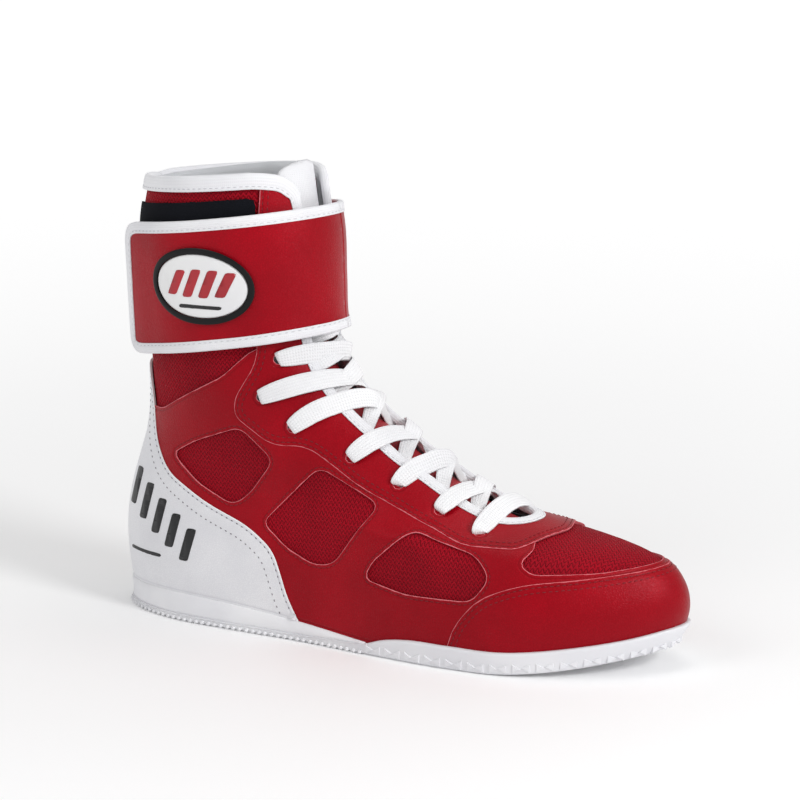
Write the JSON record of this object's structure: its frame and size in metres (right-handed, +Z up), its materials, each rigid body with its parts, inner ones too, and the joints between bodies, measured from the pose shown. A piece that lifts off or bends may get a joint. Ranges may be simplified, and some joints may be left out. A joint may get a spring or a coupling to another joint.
{
  "type": "boxing boot",
  "caption": "High-top lace-up boxing boot, right foot, with panelled leather and mesh upper, padded ankle collar and a wide hook-and-loop ankle strap.",
  "frame": {"origin": "on the ground under the middle of the boot's bounding box", "axes": "+X towards the toe, +Y towards the inner side of the foot, +Z up"},
  "size_m": [0.285, 0.092, 0.216],
  "materials": {
    "red_leather": "smooth coated red leather, fine grain, satin",
    "red_mesh": "red knitted spacer mesh, matte",
    "white_leather": "smooth white leather, satin",
    "white_binding": "white woven textile binding, matte",
    "lace": "white flat woven lace, matte",
    "lining": "light grey textile lining, matte",
    "foam": "open-cell collar foam",
    "sockliner": "dark textile-covered foam footbed",
    "board": "fibre insole board",
    "stiffener": "thermoplastic sheet stiffener",
    "rubber": "white moulded rubber, matte",
    "eva": "white moulded foam rubber, smooth skin",
    "black_pad": "black hook-and-loop fastener tape",
    "black_badge": "black moulded rubberised plastic, glossy",
    "white_badge": "white moulded rubberised plastic",
    "aglet": "clear-white plastic lace tip"
  },
  "bodies": {
    "boot": {"outsole": "rubber", "midsole_wedge": "eva", "insole_board": "board", "sockliner": "sockliner", "heel_counter": "stiffener", "toe_puff": "stiffener", "lining_lateral": "lining", "lining_medial": "lining", "collar_foam_lateral": "foam", "collar_foam_medial": "foam", "mesh_upper_lateral": "red_mesh", "mesh_upper_medial": "red_mesh", "quarter_lateral": "red_leather", "quarter_medial": "red_leather", "eyestay_lateral": "red_leather", "eyestay_medial": "red_leather", "eyelet_stay_lateral": "lining", "eyelet_stay_medial": "lining", "toe_cap": "red_leather", "heel_cap": "white_leather", "collar_binding_lateral": "white_binding", "collar_binding_medial": "white_binding", "throat_binding_lateral": "white_binding", "throat_binding_medial": "white_binding", "loop_pad": "black_pad", "lace": "lace", "aglet_lateral": "aglet", "aglet_medial": "aglet", "strap_anchor": "red_leather"},
    "strap_front": {"strap_front_face": "red_leather", "strap_front_backing": "lining", "strap_front_binding_top": "white_binding", "strap_front_binding_bottom": "white_binding"},
    "strap_tip": {"strap_tip_face": "red_leather", "strap_tip_backing": "lining", "strap_tip_binding": "white_binding", "hook_pad": "black_pad", "badge_ring": "black_badge", "badge_plate": "white_badge"},
    "tongue": {"tongue_face": "red_leather", "tongue_foam": "foam", "tongue_lining": "lining", "tongue_binding": "white_binding"}
  },
  "joints": [
    {"name": "strap_front_peel", "type": "hinge", "parent": "boot", "child": "strap_front", "pos_m": [-0.06038, 0.03691, 0.16013], "axis": [-0.0659, 0.0453, 0.9968], "range_deg": [0, 60]},
    {"name": "strap_tip_peel", "type": "hinge", "parent": "strap_front", "child": "strap_tip", "pos_m": [-0.04251, -0.02854, 0.16067], "axis": [-0.0743, -0.0371, 0.9965], "range_deg": [0, 120]},
    {"name": "tongue_swing", "type": "hinge", "parent": "boot", "child": "tongue", "pos_m": [0.06102, 0.0004, 0.053], "axis": [0, -1, 0], "range_deg": [0, 10], "stiffness_Nm_per_rad": 0.3, "springref_deg": -8.59}
  ],
  "couplings": [
    {"joint": "strap_front_peel", "follows": "strap_tip_peel", "ratio": 0.5}
  ]
}
